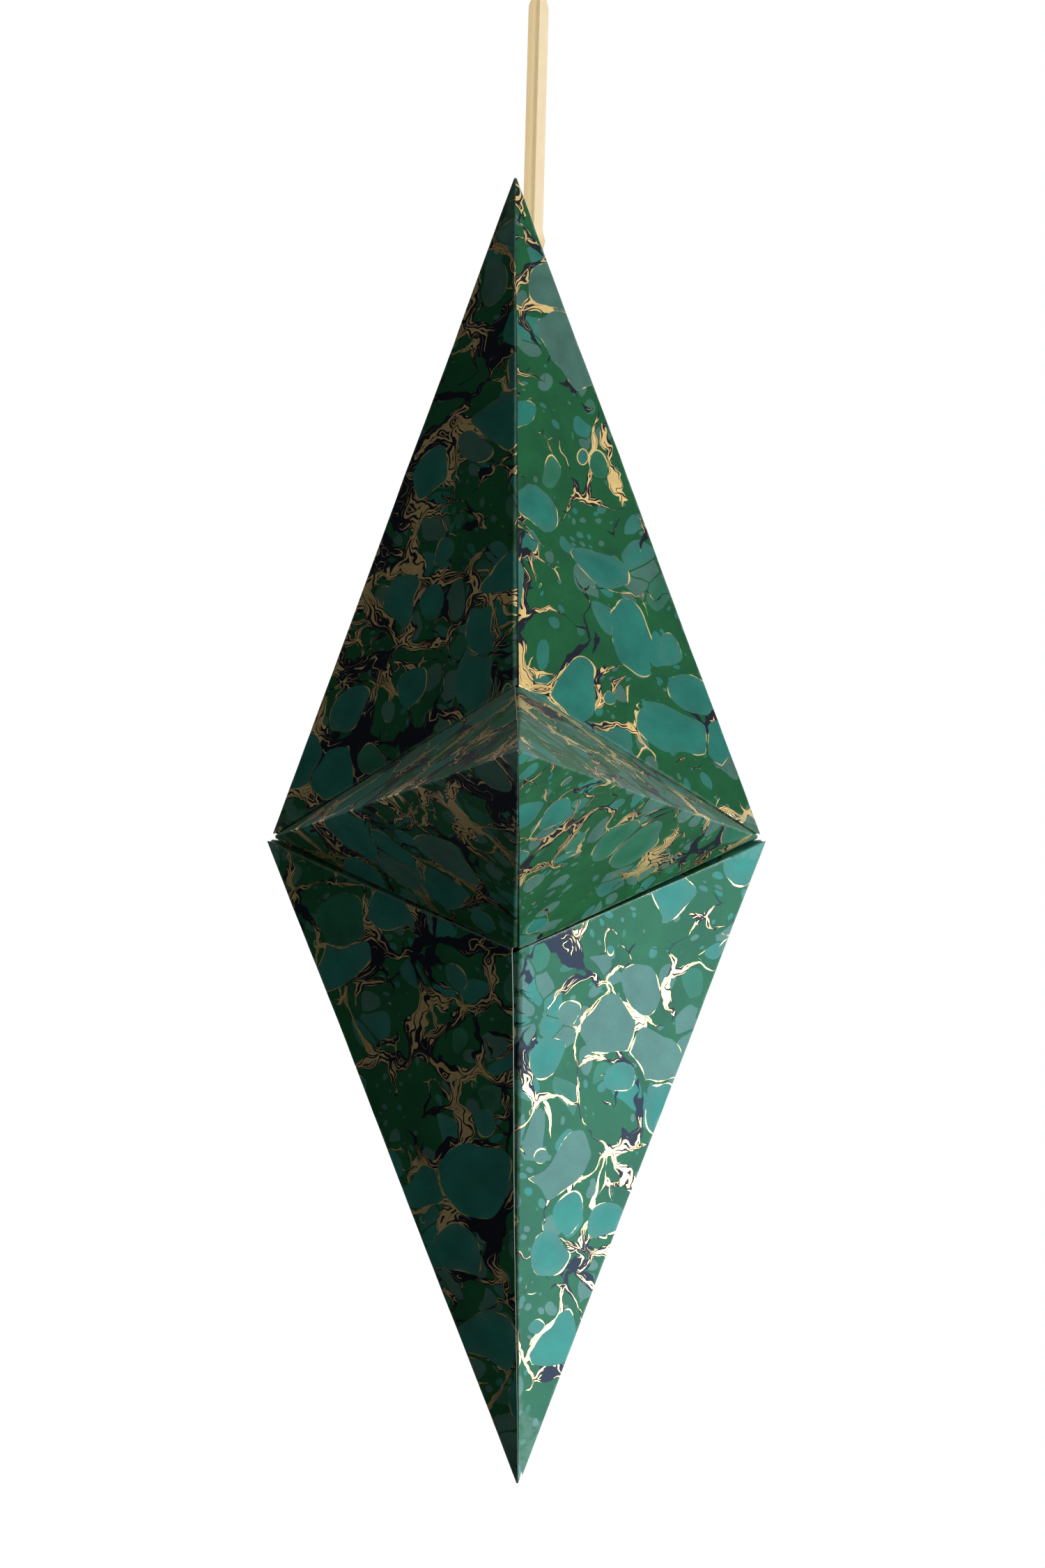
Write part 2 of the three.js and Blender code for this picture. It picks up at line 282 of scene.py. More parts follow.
def marbledPaper():
    material, tree = newMaterial("marbledPaper")
    sheet = addNode(tree, "UVMap", {"uv_map": "sheet"}, {}).outputs["UV"]
    flat = {"noise_dimensions": "2D"}
    soft = {"interpolation_type": "SMOOTHSTEP"}
    colours = {"data_type": "RGBA"}
    times = {"operation": "MULTIPLY"}
    minus = {"operation": "SUBTRACT"}
    timesPlus = {"operation": "MULTIPLY_ADD"}
    edge = {"From Min": -marble["edge"], "From Max": marble["edge"]}

    # the bath drifts as the colours spread, and eddies curl the veins more tightly
    flow = addNode(tree, "TexNoise", flat, {
        "Vector": sheet, "Scale": 1 / marble["driftLength"], "Detail": 1})
    drifted = addNode(tree, "VectorMath", timesPlus, {
        0: flow.outputs["Color"], 1: [marble["drift"]] * 3, 2: sheet})

    def stir(start, length, amount):
        eddy = addNode(tree, "TexNoise", flat, {
            "Vector": drifted, "Scale": 1 / marble[length], "Detail": 1})
        centred = addNode(tree, "VectorMath", minus, {
            0: eddy.outputs["Color"], 1: (0.5, 0.5, 0.5)})
        return addNode(tree, "VectorMath", timesPlus, {
            0: centred, 1: [marble[amount]] * 3, 2: start})

    curled = stir(stir(drifted, "curlLength", "curl"), "rippleLength", "ripple")
    rocked = stir(drifted, "rockLength", "rock")
    crowd = addNode(tree, "TexNoise", flat, {
        "Vector": sheet, "Scale": 1 / marble["crowdLength"], "Detail": 0.5}).outputs["Fac"]
    wander = addNode(tree, "TexNoise", flat, {
        "Vector": drifted, "Scale": 1 / films["wanderLength"], "Detail": 2}).outputs["Fac"]
    share = addNode(tree, "TexNoise", flat, {
        "Vector": sheet, "Scale": 1 / films["shareLength"], "Detail": 1}).outputs["Fac"]

    # a layer of drops covers what lies under it; the gold of the veins is kept apart
    def letFall(layer, colour, gold):
        cells = {"Vector": rocked, "Scale": 1 / layer["spacing"]}
        drop = addNode(tree, "TexVoronoi", {"voronoi_dimensions": "2D"}, cells)
        squeeze = addNode(tree, "TexVoronoi", {
            "voronoi_dimensions": "2D", "feature": "DISTANCE_TO_EDGE"}, cells)
        draw = addNode(tree, "SeparateColor", {}, {0: drop.outputs["Color"]})
        patch = addNode(tree, "TexNoise", flat, {
            "Vector": sheet, "Scale": 1 / layer["patch"], "Detail": 1})
        spread = addNode(tree, "Math", timesPlus, {
            0: patch.outputs["Fac"], 1: marble["patchiness"], 2: -marble["patchiness"] / 2})
        chance = addNode(tree, "Math", {"operation": "ADD"}, {
            0: draw.outputs[0], 1: spread})
        radius = addNode(tree, "MapRange", {}, {
            "Value": chance, "To Min": layer["least"], "To Max": layer["most"]})
        free = addNode(tree, "Math", timesPlus, {
            0: drop.outputs["Distance"], 1: -layer["spacing"], 2: radius})
        pressed = addNode(tree, "Math", timesPlus, {
            0: squeeze.outputs["Distance"], 1: layer["spacing"], 2: -marble["gap"]})
        depth = addNode(tree, "Math", {"operation": "SMOOTH_MIN"}, {
            0: free, 1: pressed, 2: marble["round"] * layer["spacing"]})
        bare = addNode(tree, "MapRange", soft, {
            "Value": depth, **edge, "To Min": 1, "To Max": 0})
        ink = addNode(tree, "ValToRGB", {}, {0: draw.outputs[1]})
        ink.color_ramp.interpolation = "CONSTANT"
        ink.color_ramp.elements[0].color = linearColour(marble["teal"])
        ink.color_ramp.elements[1].position = layer["shares"][1]
        ink.color_ramp.elements[1].color = linearColour(marble["moss"])
        slate = ink.color_ramp.elements.new(layer["shares"][0])
        slate.color = linearColour(marble["slate"])
        rim = addNode(tree, "MapRange", soft, {
            "Value": depth, "From Max": marble["rim"],
            "To Min": marble["rimGrey"], "To Max": 0})
        greyed = addNode(tree, "Math", times, {0: rim, 1: draw.outputs[2]})
        toned = addNode(tree, "Mix", colours, {
            0: greyed, 6: ink, 7: linearColour(marble["slate"])})
        covered = addNode(tree, "Mix", colours, {0: bare, 6: toned.outputs[2], 7: colour})
        if gold:
            gold = addNode(tree, "Math", times, {0: gold, 1: bare})
        return covered.outputs[2], gold, depth

    # black and gold films run along the gaps between the drops of one layer
    def runVeins(layer, vein, colour, gold):
        gaps = addNode(tree, "TexVoronoi", {
            "voronoi_dimensions": "2D", "feature": "DISTANCE_TO_EDGE"}, {
            "Vector": curled, "Scale": 1 / layer["spacing"]})
        across = addNode(tree, "Math", times, {
            0: gaps.outputs["Distance"], 1: layer["spacing"]})
        swell = addNode(tree, "TexNoise", flat, {
            "Vector": sheet, "Scale": 1 / vein["length"], "Detail": 2.5})
        rich = addNode(tree, "Math", timesPlus, {
            0: crowd, 1: marble["crowd"], 2: swell.outputs["Fac"]})
        swollen = addNode(tree, "MapRange", {}, {
            "Value": rich, "From Min": vein["from"], "From Max": vein["to"]})
        mostlyThin = addNode(tree, "Math", {"operation": "POWER"}, {
            0: swollen, 1: vein["power"]})
        width = addNode(tree, "MapRange", {}, {
            "Value": mostlyThin, "To Min": vein["least"], "To Max": vein["most"]})
        inside = addNode(tree, "Math", minus, {0: width, 1: across})
        mask = addNode(tree, "MapRange", soft, {"Value": inside, **edge})
        lane = addNode(tree, "Math", timesPlus, {
            0: width, 1: films["laneShare"], 2: films["laneLeast"]})
        lanes = addNode(tree, "Math", {"operation": "DIVIDE"}, {0: across, 1: lane})
        wandered = addNode(tree, "Math", timesPlus, {
            0: wander, 1: films["wander"], 2: lanes})
        laid = addNode(tree, "CombineXYZ", {}, {0: wandered, 1: share})
        streaks = addNode(tree, "TexNoise", flat, {
            "Vector": laid, "Scale": films["streaks"], "Detail": 1.5})
        lean = addNode(tree, "Math", minus, {0: streaks.outputs["Fac"], 1: share})
        border = addNode(tree, "MapRange", {}, {
            "Value": inside, "From Max": films["border"],
            "To Min": films["borderLean"], "To Max": 0})
        bordered = addNode(tree, "Math", {"operation": "ADD"}, {0: lean, 1: border})
        gilt = addNode(tree, "MapRange", soft, {
            "Value": bordered, "From Min": films["giltFrom"], "From Max": films["giltTo"]})
        film = addNode(tree, "Mix", colours, {
            0: gilt, 6: linearColour(marble["black"]), 7: linearColour(marble["gold"])})
        veined = addNode(tree, "Mix", colours, {0: mask, 6: colour, 7: film.outputs[2]})
        goldHere = addNode(tree, "Math", times, {0: mask, 1: gilt})
        if gold:
            goldHere = addNode(tree, "Math", {"operation": "MAXIMUM"}, {
                0: gold, 1: goldHere})
        return veined.outputs[2], goldHere

    shade = addNode(tree, "TexNoise", flat, {
        "Vector": sheet, "Scale": 1 / marble["shadeLength"], "Detail": 2})
    colour = addNode(tree, "Mix", colours, {
        0: shade.outputs["Fac"],
        6: linearColour(marble["ground"]),
        7: linearColour(marble["groundDeep"])}).outputs[2]
    colour, gold, _ = letFall(drops["droplets"], colour, None)
    colour, gold, _ = letFall(drops["pebbles"], colour, gold)
    colour, gold = runVeins(drops["pebbles"], veins["pebbles"], colour, gold)
    colour, gold = runVeins(drops["stones"], veins["stones"], colour, gold)
    colour, gold, depth = letFall(drops["stones"], colour, gold)

    clasp = addNode(tree, "TexNoise", flat, {
        "Vector": sheet, "Scale": 1 / goldThread["length"], "Detail": 3})
    threadWidth = addNode(tree, "MapRange", {}, {
        "Value": clasp.outputs["Fac"],
        "From Min": goldThread["from"], "From Max": goldThread["to"],
        "To Min": goldThread["least"], "To Max": goldThread["most"]})
    outline = addNode(tree, "Math", {"operation": "ABSOLUTE"}, {0: depth})
    inThread = addNode(tree, "Math", minus, {0: threadWidth, 1: outline})
    thread = addNode(tree, "MapRange", soft, {"Value": inThread, **edge})
    goldMask = addNode(tree, "Math", {"operation": "MAXIMUM"}, {0: gold, 1: thread})
    gilded = addNode(tree, "Mix", colours, {
        0: thread, 6: colour, 7: linearColour(marble["gold"])}).outputs[2]

    # the tooth speckles the inks, which also lie thicker and thinner
    tooth = addNode(tree, "TexNoise", flat, {
        "Vector": sheet, "Scale": 1 / finish["tooth"], "Detail": 2})
    grain = addNode(tree, "MapRange", {}, {
        "Value": tooth.outputs["Fac"],
        "From Min": finish["toothFrom"], "From Max": finish["toothTo"],
        "To Min": 1 - finish["grain"], "To Max": 1 + finish["grain"]})
    thick = addNode(tree, "TexNoise", flat, {
        "Vector": drifted, "Scale": 1 / marble["cloudLength"], "Detail": 3})
    clouded = addNode(tree, "MapRange", {}, {
        "Value": thick.outputs["Fac"], "To Min": 1 - marble["cloud"], "To Max": 1 + marble["cloud"]})
    uneven = addNode(tree, "Math", times, {0: grain, 1: clouded})
    speckled = addNode(tree, "VectorMath", {"operation": "SCALE"}, {
        0: gilded, "Scale": uneven})

    # along the folds the paint is rubbed thin, and fibre shows; the pale band is also made wide enough
    # to stand in for the highlight on the rounded folds, so it is partly a painted highlight
    fold = addNode(tree, "Attribute", {"attribute_name": "foldDistance"}, {})
    rubAndHighlightNoise = addNode(tree, "TexNoise", flat, {
        "Vector": sheet, "Scale": 1 / finish["rubAndHighlightLength"], "Detail": 3})
    wornAndLit = addNode(tree, "Math", timesPlus, {
        0: rubAndHighlightNoise.outputs["Fac"], 1: -finish["rubAndHighlightRagged"], 2: finish["rubAndHighlightReach"]})
    rubbedAndLit = addNode(tree, "Math", minus, {0: wornAndLit, 1: fold.outputs["Fac"]})
    wearAndHighlight = addNode(tree, "MapRange", soft, {
        "Value": rubbedAndLit, "From Max": finish["rubAndHighlightSoft"], "To Max": finish["rubAndHighlightMost"]})
    finished = addNode(tree, "Mix", colours, {
        0: wearAndHighlight, 6: speckled, 7: linearColour(finish["fibreAndHighlight"])})

    # the gold is metal; a thin polish lies over everything, its blue a painted reflection of a blue sky
    sheen = addNode(tree, "MapRange", {}, {
        "Value": goldMask, "To Min": finish["roughness"], "To Max": finish["goldRoughness"]})
    bump = addNode(tree, "Bump", {}, {
        "Height": tooth.outputs["Fac"],
        "Strength": finish["toothBump"],
        "Distance": finish["toothDepth"] * mm})
    surface = addNode(tree, "BsdfPrincipled", {}, {
        "Base Color": finished.outputs[2],
        "Metallic": goldMask,
        "Roughness": sheen,
        "Specular IOR Level": 0,
        "Normal": bump})
    slant = addNode(tree, "Fresnel", {}, {"IOR": finish["index"], "Normal": bump})
    hue = addNode(tree, "VectorMath", timesPlus, {
        0: gilded, 1: [finish["bronzing"]] * 3, 2: linearColour(finish["skyTintedGloss"])[:3]})
    skyTintedGloss = addNode(tree, "Mix", colours, {
        0: slant, 6: hue, 7: linearColour(finish["glance"])})
    gloss = addNode(tree, "BsdfAnisotropic", {}, {
        "Color": skyTintedGloss.outputs[2], "Roughness": sheen, "Normal": bump})
    glossShare = addNode(tree, "MapRange", {}, {
        "Value": slant,
        "From Min": finish["glossLeast"], "From Max": finish["slantMost"],
        "To Min": finish["glossLeast"], "To Max": finish["glossMost"]})
    polished = addNode(tree, "MixShader", {}, {0: glossShare, 1: surface, 2: gloss})
    addNode(tree, "OutputMaterial", {}, {"Surface": polished})
    return material


# Cut edge of the sheet: bare pale fibre, matt, a little furred by the blade.
# The same fibre shows on the unpainted inside of the sheet.
bareFibre = {
    "edge": "#a3aa9a",
    "back": "#cfccba",
    "fuzz": 0.4,
    "darkest": 0.75,
    "palest": 1.1,
    "roughness": 0.85,
}


def barePaper(name, hexValue):
    material, tree = newMaterial(name)
    place = addNode(tree, "TexCoord", {}, {}).outputs["Object"]
    fuzz = addNode(tree, "TexNoise", {}, {
        "Vector": place, "Scale": 1000 / bareFibre["fuzz"], "Detail": 2})
    tone = addNode(tree, "MapRange", {}, {
        "Value": fuzz.outputs["Fac"], "To Min": bareFibre["darkest"], "To Max": bareFibre["palest"]})
    colour = addNode(tree, "VectorMath", {"operation": "SCALE"}, {
        0: linearColour(hexValue)[:3], "Scale": tone})
    surface = addNode(tree, "BsdfPrincipled", {}, {
        "Base Color": colour, "Roughness": bareFibre["roughness"]})
    addNode(tree, "OutputMaterial", {}, {"Surface": surface})
    return material


paperMaterials = [
    marbledPaper(),
    barePaper("cutPaperEdge", bareFibre["edge"]),
    barePaper("barePaperBack", bareFibre["back"]),
]
print("paper materials made")


# One folded half: two facets that share the ridge, a flap along each valley and a seam tab.
half = {
    "paper": 0.25,
    "tipInset": 0.06,  # seam fold to the middle line, at the tip
    "seamInset": 0.45,  # and at the valley
    "besideSeam": 1.8,  # the edge at the seam fold's end, of which the rounding takes its share
    "besideRidge": 0.8,  # and at the ridge's end
    "cornerWear": 0.15,  # the ridge's blunt end at the star's corner
    "foldShare": 0.42,  # what the rounding of a fold takes of those edges
    "foldSegments": 5,
    "valleyFold": 0.3,
    "valleySegments": 3,
    "flapWidth": 5.0,
    "flapLeast": 0.5,  # at both ends of the flap
    "flapTaper": 8.0,
    "flapClose": 1.5,  # this near the corner, in roundings, the flap's end closes it
    "tabWidth": 6.0,
    "tabTaper": 22.0,
    "tabEnd": 5.0,
    "slice": 4.0,  # spacing of the cuts that let the sheet bend
    "sway": 0.2,  # how far the paper strays from its plane
    "swayLength": 34.0,
    "wobble": 0.05,  # unevenness of cut edges
    "wobbleLength": 4.0,
    "sharpAngle": 32,
    "onLine": 0.01,  # a vertex this near a line lies on it
    "onPlane": 1e-4,
}


def lineDistance(place, line):
    start, end = line
    along = (end - start).normalized()
    offset = place - start
    return (offset - along * offset.dot(along)).length


def onSheet(place, apex, ridge, hand):
    offset = place - apex
    run = offset.dot(ridge)
    return Vector((hand * (offset - ridge * run).length, -run))


def unfold(place, start, end, flatStart, flatEnd, outwards):
    along = (end - start).normalized()
    offset = place - start
    run = offset.dot(along)
    flatAlong = (flatEnd - flatStart).normalized()
    flatAcross = Vector((-flatAlong.y, flatAlong.x))
    if flatAcross.dot(outwards) < 0:
        flatAcross.negate()
    return flatStart + flatAlong * run + flatAcross * (offset - along * run).length


def cutAcross(bm, place, normal, geom=None, clear=False):
    bmesh.ops.bisect_plane(
        bm, geom=geom or bm.verts[:] + bm.edges[:] + bm.faces[:], dist=half["onPlane"],
        plane_co=place, plane_no=normal, clear_inner=clear)


def foldFlap(bm, rimLine, sheetMap, shift, rounding):
    start, end, inside, flatStart, flatEnd = rimLine
    rim = [
        edge for edge in bm.edges
        if edge.is_boundary
        and all(lineDistance(vert.co, (start, end)) < half["onLine"] for vert in edge.verts)]
    grown = bmesh.ops.extrude_edge_only(bm, edges=rim)["geom"]
    along = (end - start).normalized()
    tip = half["foldShare"] * half["besideRidge"]
    slope = (half["flapWidth"] - half["flapLeast"]) / (half["flapTaper"] - tip)
    for part in grown:
        if isinstance(part, bmesh.types.BMVert):
            run = (part.co - start).dot(along)
            nearEnd = max(min(run, (end - start).length - run) - tip, 0)
            part.co += inside * min(half["flapLeast"] + slope * nearEnd, half["flapWidth"])
            if run < half["flapClose"] * tip:
                part.co -= along * tip
    for part in grown:
        if isinstance(part, bmesh.types.BMFace):
            for loop in part.loops:
                flat = unfold(loop.vert.co, start, end, flatStart, flatEnd, Vector((0, -1)))
                loop[sheetMap].uv = flat + shift
    bmesh.ops.bevel(
        bm, geom=rim, offset=half["valleyFold"], offset_type="OFFSET",
        segments=half["valleySegments"], **rounding)


# the seam tab is folded under the facet of the other half
def addTab(bm, flat, seamFold, flatFold, cover, hand):
    foot, top = [vert.co.copy() for vert in seamFold]
    _, coverPole, coverValley, coverNormal = cover
    crease = (top - foot).normalized()
    under = coverNormal.cross(crease).normalized()
    if under.dot(coverPole - coverValley) < 0:
        under.negate()
    outer = [
        top + under * half["tipInset"],
        top - crease * half["tabTaper"] + under * half["tabWidth"],
        foot + crease * half["tabEnd"] + under * half["tabWidth"],
        foot + crease * half["besideSeam"] / 2 + under * half["besideSeam"],
    ]
    tab = bm.faces.new(list(seamFold) + [bm.verts.new(place) for place in outer])
    for vert in tab.verts:
        flat[(tab, vert)] = unfold(vert.co, foot, top, *flatFold, Vector((hand, 0)))
    return foot, top


def foldHalf(pointName, side, cutAt):
    point = star["points"][pointName]
    bm = bmesh.new()
    flat = {}
    apex, pole, _, _ = facetCorners(point, side, 1, star["apexLift"])
    ridge = (pole - apex).normalized()
    ridgeTop = bm.verts.new(apex.lerp(pole, star["apexLift"] / (apex.z - pole.z)))
    ridgeEnd = bm.verts.new(pole - ridge * half["cornerWear"])
    foldLines = [(apex, pole)]
    rims = []
    for bank in (-1, 1):
        hand = bank * side
        folded = hand == 1  # the other seam edge is cut, and laps over the next half
        valley = facetCorners(point, side, bank, star["apexLift"])[2]
        seam = (valley - apex).normalized()
        inwards = ((pole - apex) - seam * (pole - apex).dot(seam)).normalized()
        rim = (pole - valley).normalized()
        seamTop = apex.lerp(valley, star["apexLift"] / (apex.z - valley.z))
        seamEnd = valley + rim * (half["seamInset"] if folded else point["lap"])
        places = [
            pole - rim * half["besideRidge"],
            pole - rim * half["flapTaper"],
            seamEnd + rim * half["flapTaper"],
            seamEnd + rim * half["besideSeam"],
            seamEnd,
            seamTop + inwards * half["tipInset"],
        ]
        facet = bm.faces.new([ridgeTop, ridgeEnd] + [bm.verts.new(place) for place in places])
        for vert in facet.verts:
            flat[(facet, vert)] = onSheet(vert.co, apex, ridge, hand)
        # the flap goes inwards along the plane between two points
        between = Vector((0, bank, 1)).normalized()
        inside = -(between - rim * between.dot(rim)).normalized()
        rims.append((
            pole, seamEnd, inside,
            onSheet(pole, apex, ridge, hand), onSheet(seamEnd, apex, ridge, hand)))
        foldLines.append((pole, seamEnd))
        if folded:
            seamFold = facet.verts[-2:]
            flatFold = [flat[(facet, vert)] for vert in seamFold]
            cover = facetCorners(point, -side, bank, star["apexLift"])
            foldLines.append(addTab(bm, flat, seamFold, flatFold, cover, hand))

    bmesh.ops.recalc_face_normals(bm, faces=bm.faces[:])
    if facet.normal.x * side < 0:
        bmesh.ops.reverse_faces(bm, faces=bm.faces[:])
    sheetMap = bm.loops.layers.uv.new("sheet")
    shift = Vector(cutAt)
    for face in bm.faces:
        for loop in face.loops:
            loop[sheetMap].uv = flat[(face, loop.vert)] + shift

    # round the folds: sharp at the tip and opening towards the corners
    rounding = {"affect": "EDGES", "profile": 0.5, "material": -1, "clamp_overlap": False}
    bmesh.ops.bevel(
        bm, geom=[bm.edges.get((ridgeTop, ridgeEnd)), bm.edges.get(seamFold)],
        offset=100 * half["foldShare"], offset_type="PERCENT",
        segments=half["foldSegments"], **rounding)
    # the corner is trimmed level where the rounding of the ridge meets the rims
    trim = up * (pole.z - rim.z * half["foldShare"] * half["besideRidge"])
    cutAcross(bm, trim, up, clear=True)
    for rimLine in rims:
        foldFlap(bm, rimLine, sheetMap, shift, rounding)

    # cuts across and along the sheet, so that it can stray a little from flat
    for i in range(1, int(point["length"] / half["slice"])):
        cutAcross(bm, up * (i * half["slice"]), up)
    for i in range(1, int(point["reach"] / half["slice"])):
        cutAcross(bm, Vector((side * i * half["slice"], 0, 0)), Vector((1, 0, 0)))
    return bm, foldLines


# The slit is cut in the outer facet alone, not in the flaps or the tab behind it.
slit = {"reach": 0.2, "facing": 0.99}


def cutSlit(bm):
    length = ribbon["width"] + 2 * ribbon["gap"]
    entry = math.radians(ribbon["entry"])
    stack = 2 * ribbon["thickness"] + 3 * ribbon["gap"]
    height = stack / math.sin(entry) + half["paper"] / math.tan(entry)

    def near(face):
        return abs((face.calc_center_median() - slitCentre).dot(slitNormal)) < slit["reach"]

    for direction, size in ((slitAcross, length), (slitUp, height)):
        for sign in (-1, 1):
            faces = [
                face for face in bm.faces
                if near(face) and face.normal.dot(slitNormal) > slit["facing"]]
            edges = {edge for face in faces for edge in face.edges}
            verts = {vert for face in faces for vert in face.verts}
            place = slitCentre + direction * (sign * size / 2)
            cutAcross(bm, place, direction, list(verts) + list(edges) + faces)
    hole = []
    for face in bm.faces:
        offset = face.calc_center_median() - slitCentre
        inHole = abs(offset.dot(slitAcross)) < length / 2 and abs(offset.dot(slitUp)) < height / 2
        if inHole and near(face):
            hole.append(face)
    bmesh.ops.delete(bm, geom=hole, context="FACES")


def addHalf(pointName, hand, side, cutAt):
    node = f"{pointName}_point_{hand}_half"
    bm, foldLines = foldHalf(pointName, side, cutAt)
    if node == "top_point_right_half":
        cutSlit(bm)
    folds = bm.verts.layers.float.new("foldDistance")
    for vert in bm.verts:
        vert[folds] = min(lineDistance(vert.co, line) for line in foldLines)
    turn = Matrix.Rotation(math.radians(star["points"][pointName]["turn"]), 4, "X")
    bmesh.ops.transform(bm, matrix=turn, verts=bm.verts[:])
    for vert in bm.verts:
        sway = noise.noise_vector(vert.co / half["swayLength"]) * half["sway"]
        wobble = noise.noise_vector(vert.co / half["wobbleLength"]) * half["wobble"]
        vert.co += sway + wobble
    bmesh.ops.transform(bm, matrix=metres @ starPlace, verts=bm.verts[:])
    mesh = bpy.data.meshes.new(node + "_sheet")
    bm.to_mesh(mesh)
    bm.free()
    for material in paperMaterials:
        mesh.materials.append(material)
    piece = bpy.data.objects.new(f"{pointName}_{hand}_paper", mesh)
    bpy.context.collection.objects.link(piece)
    wall = piece.modifiers.new("paper", "SOLIDIFY")
    wall.thickness = half["paper"] * mm
    wall.offset = -1
    wall.use_even_offset = True
    wall.material_offset = 2
    wall.material_offset_rim = 1
    evaluated = piece.evaluated_get(bpy.context.evaluated_depsgraph_get())
    shaped = bpy.data.meshes.new_from_object(evaluated)
    piece.modifiers.clear()
    piece.data = shaped
    bpy.data.meshes.remove(mesh)
    shaped.name = node + "_sheet"
    shaped.shade_smooth()
    shaped.set_sharp_from_angle(angle=math.radians(half["sharpAngle"]))
    flatten = piece.modifiers.new("flatFacets", "WEIGHTED_NORMAL")
    flatten.keep_sharp = True
    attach(piece, "star")
    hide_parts(node)


# where on the marbled sheet each half was cut
cutPlaces = {
    "top_left": (411, 633), "top_right": (2950, 1120),
    "front_left": (2210, 1930), "front_right": (1290, 3330),
    "bottom_left": (1620, 890), "bottom_right": (2301, 3003),
    "back_left": (995, 1095), "back_right": (1096, 1688),
}
for pointName in star["points"]:
    for hand, side in hands:
        addHalf(pointName, hand, side, cutPlaces[f"{pointName}_{hand}"])
print("eight paper halves folded")


# Satin ribbon: polyester woven with long floats, so it is smooth and glossy along its
# length, with fine cross ribs and a slightly denser selvedge.
satin = {
    "body": "#f6efe0",
    "rib": "#e6d9bb",
    "selvedge": "#dfcfa9",
    "selvedgeFrom": 1.15,  # from the middle of the ribbon
    "selvedgeTo": 1.42,
    "ribSpacing": 0.22,
    "ribRagged": 0.6,
    "ribShare": 0.3,
    "warpSpacing": 0.3,
    "floatLength": 14,  # in warp spacings
    "toneFrom": 0.35,
    "toneTo": 1.0,
    "weaveBump": 0.25,
    "weaveDepth": 0.1,
    "roughness": 0.42,
    "specular": 1.0,
    "sheen": 0.25,
    "sheenRoughness": 0.4,
    "glow": "#f8eacc",  # light that has come through is warmer
    "seeThrough": 0.62,  # share of the light that comes through the thin cloth
}
waveBand = 0.314  # width of a band of the wave texture at scale 1


def satinRibbon():
    material, tree = newMaterial("satinRibbon")
    tape = addNode(tree, "UVMap", {"uv_map": "tape"}, {}).outputs["UV"]
    axes = addNode(tree, "SeparateXYZ", {}, {0: tape})
    fromMiddle = addNode(tree, "Math", {"operation": "ABSOLUTE"}, {0: axes.outputs[0]})
    selvedge = addNode(tree, "MapRange", {"interpolation_type": "SMOOTHSTEP"}, {
        "Value": fromMiddle,
        "From Min": satin["selvedgeFrom"], "From Max": satin["selvedgeTo"]})
    warp = 1 / satin["warpSpacing"]
    threads = addNode(tree, "VectorMath", {"operation": "MULTIPLY"}, {
        0: tape, 1: (warp, warp / satin["floatLength"], 0)})
    floats = addNode(tree, "TexNoise", {"noise_dimensions": "2D"}, {
        "Vector": threads, "Scale": 1, "Detail": 2})
    ribs = addNode(tree, "TexWave", {"bands_direction": "Y"}, {
        "Vector": tape, "Scale": waveBand / satin["ribSpacing"],
        "Distortion": satin["ribRagged"], "Detail": 1})
    weave = addNode(tree, "Math", {"operation": "MULTIPLY_ADD"}, {
        0: ribs.outputs["Fac"], 1: satin["ribShare"], 2: floats.outputs["Fac"]})
    tone = addNode(tree, "MapRange", {}, {
        "Value": weave, "From Min": satin["toneFrom"], "From Max": satin["toneTo"]})
    body = addNode(tree, "Mix", {"data_type": "RGBA"}, {
        0: tone, 6: linearColour(satin["rib"]), 7: linearColour(satin["body"])})
    colour = addNode(tree, "Mix", {"data_type": "RGBA"}, {
        0: selvedge, 6: body.outputs[2], 7: linearColour(satin["selvedge"])})
    bump = addNode(tree, "Bump", {}, {
        "Height": weave,
        "Strength": satin["weaveBump"],
        "Distance": satin["weaveDepth"] * mm})
    surface = addNode(tree, "BsdfPrincipled", {}, {
        "Base Color": colour.outputs[2],
        "Roughness": satin["roughness"],
        "Specular IOR Level": satin["specular"],
        "Sheen Weight": satin["sheen"],
        "Sheen Roughness": satin["sheenRoughness"],
        "Normal": bump})
    through = addNode(tree, "BsdfTranslucent", {}, {"Color": linearColour(satin["glow"])})
    cloth = addNode(tree, "MixShader", {}, {0: satin["seeThrough"], 1: surface, 2: through})
    addNode(tree, "OutputMaterial", {}, {"Surface": cloth})
    return material


satinMaterial = satinRibbon()

# A tape is a flat section drawn along its stations: each gives its middle and its width,
# and towards the end the cloth gathers to a share of that width.
section = {"edge": 0.08, "columns": 6, "sharpAngle": 60}


